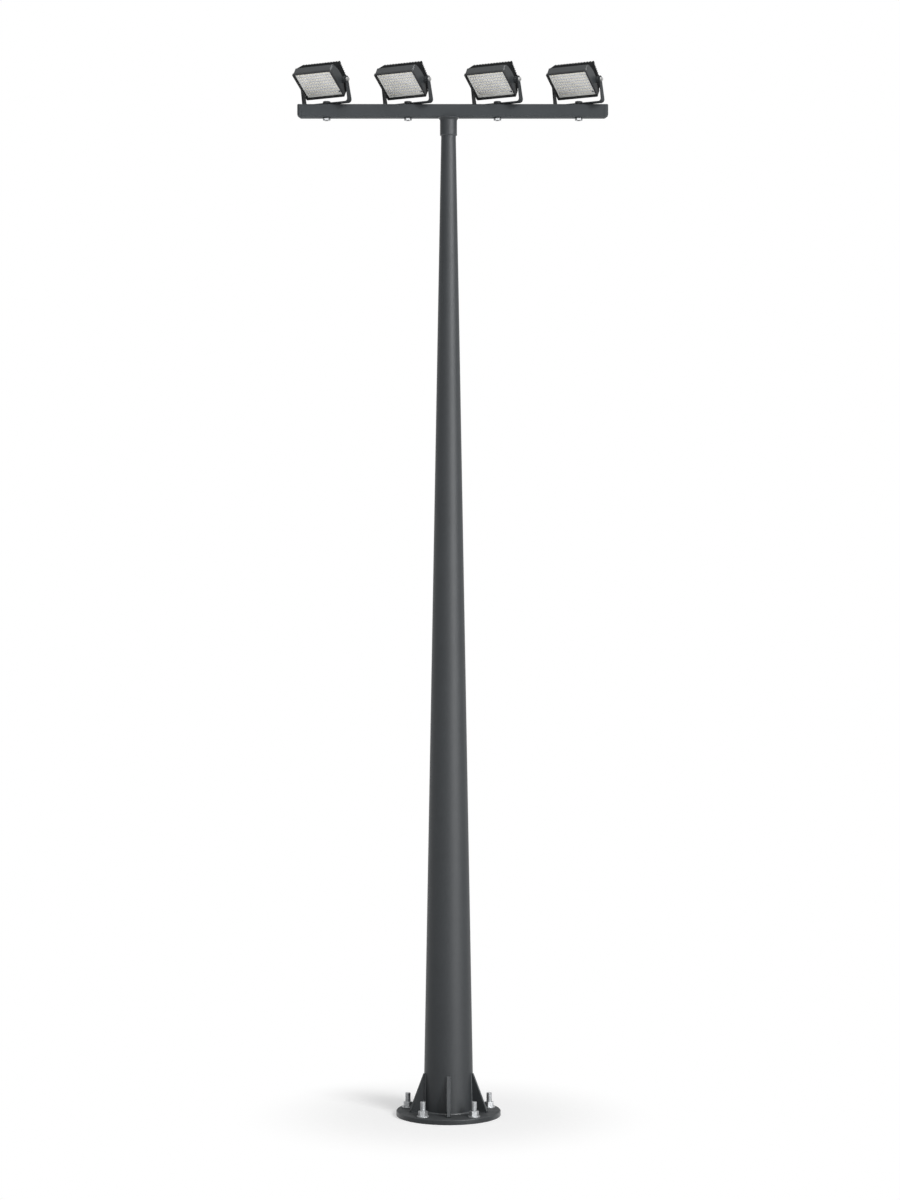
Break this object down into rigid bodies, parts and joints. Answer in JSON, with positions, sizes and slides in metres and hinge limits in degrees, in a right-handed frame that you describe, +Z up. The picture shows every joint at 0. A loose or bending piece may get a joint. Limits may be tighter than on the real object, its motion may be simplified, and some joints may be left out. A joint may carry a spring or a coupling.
{
  "type": "high mast floodlight tower",
  "caption": "Tapered round steel mast on a gusseted flange, with a box-section crossarm that carries finned LED floodlights on swivelling, tilting U-yokes.",
  "frame": {"origin": "centre of the base plate's underside, on the ground", "axes": "+Z up along the mast, -Y towards the front of the lamps' side, +X along the crossarm to the viewer's right"},
  "size_m": [3.7418, 1.24, 12.4801],
  "materials": {
    "mast_paint": "satin",
    "zinc_steel": "galvanised",
    "lamp_casting": "powder coated",
    "front_glass": "clear",
    "led_board": "white solder mask"
  },
  "bodies": {
    "mast": {"base_plate": "mast_paint", "gusset_1": "mast_paint", "gusset_2": "mast_paint", "gusset_3": "mast_paint", "gusset_4": "mast_paint", "gusset_5": "mast_paint", "anchor_studs": "zinc_steel", "anchor_washers": "zinc_steel", "anchor_nuts": "zinc_steel", "pole": "mast_paint", "foot_weld_ring": "mast_paint", "arm_socket": "mast_paint", "crossarm": "mast_paint", "end_cap_left": "mast_paint", "end_cap_right": "mast_paint", "swivel_washers": "mast_paint", "swivel_nuts": "zinc_steel", "swivel_bolt_1": "mast_paint", "swivel_bolt_2": "mast_paint", "swivel_bolt_3": "mast_paint", "swivel_bolt_4": "mast_paint"},
    "yoke_1": {"yoke_1": "mast_paint"},
    "lamp_1": {"housing_1": "lamp_casting", "bezel_1": "lamp_casting", "glass_1": "front_glass", "led_panel_1": "led_board", "pivot_bolts_1": "zinc_steel"},
    "yoke_2": {"yoke_2": "mast_paint"},
    "lamp_2": {"housing_2": "lamp_casting", "bezel_2": "lamp_casting", "glass_2": "front_glass", "led_panel_2": "led_board", "pivot_bolts_2": "zinc_steel"},
    "yoke_3": {"yoke_3": "mast_paint"},
    "lamp_3": {"housing_3": "lamp_casting", "bezel_3": "lamp_casting", "glass_3": "front_glass", "led_panel_3": "led_board", "pivot_bolts_3": "zinc_steel"},
    "yoke_4": {"yoke_4": "mast_paint"},
    "lamp_4": {"housing_4": "lamp_casting", "bezel_4": "lamp_casting", "glass_4": "front_glass", "led_panel_4": "led_board", "pivot_bolts_4": "zinc_steel"}
  },
  "joints": [
    {"name": "yoke_1_swivel", "type": "hinge", "parent": "mast", "child": "yoke_1", "pos_m": [-1.448, 0, 12], "axis": [0, 0, 1], "range_deg": [-63, 117]},
    {"name": "lamp_1_tilt", "type": "hinge", "parent": "yoke_1", "child": "lamp_1", "pos_m": [-1.47615, -0.05524, 12.269], "axis": [0.891, -0.454, 0], "range_deg": [-56, 34]},
    {"name": "yoke_2_swivel", "type": "hinge", "parent": "mast", "child": "yoke_2", "pos_m": [-0.48179, 0, 12], "axis": [0, 0, 1], "range_deg": [-63, 117]},
    {"name": "lamp_2_tilt", "type": "hinge", "parent": "yoke_2", "child": "lamp_2", "pos_m": [-0.50994, -0.05524, 12.269], "axis": [0.891, -0.454, 0], "range_deg": [-56, 34]},
    {"name": "yoke_3_swivel", "type": "hinge", "parent": "mast", "child": "yoke_3", "pos_m": [0.58179, 0, 12], "axis": [0, 0, 1], "range_deg": [-63, 117]},
    {"name": "lamp_3_tilt", "type": "hinge", "parent": "yoke_3", "child": "lamp_3", "pos_m": [0.55364, -0.05524, 12.269], "axis": [0.891, -0.454, 0], "range_deg": [-56, 34]},
    {"name": "yoke_4_swivel", "type": "hinge", "parent": "mast", "child": "yoke_4", "pos_m": [1.548, 0, 12], "axis": [0, 0, 1], "range_deg": [-63, 117]},
    {"name": "lamp_4_tilt", "type": "hinge", "parent": "yoke_4", "child": "lamp_4", "pos_m": [1.51985, -0.05524, 12.269], "axis": [0.891, -0.454, 0], "range_deg": [-56, 34]}
  ]
}
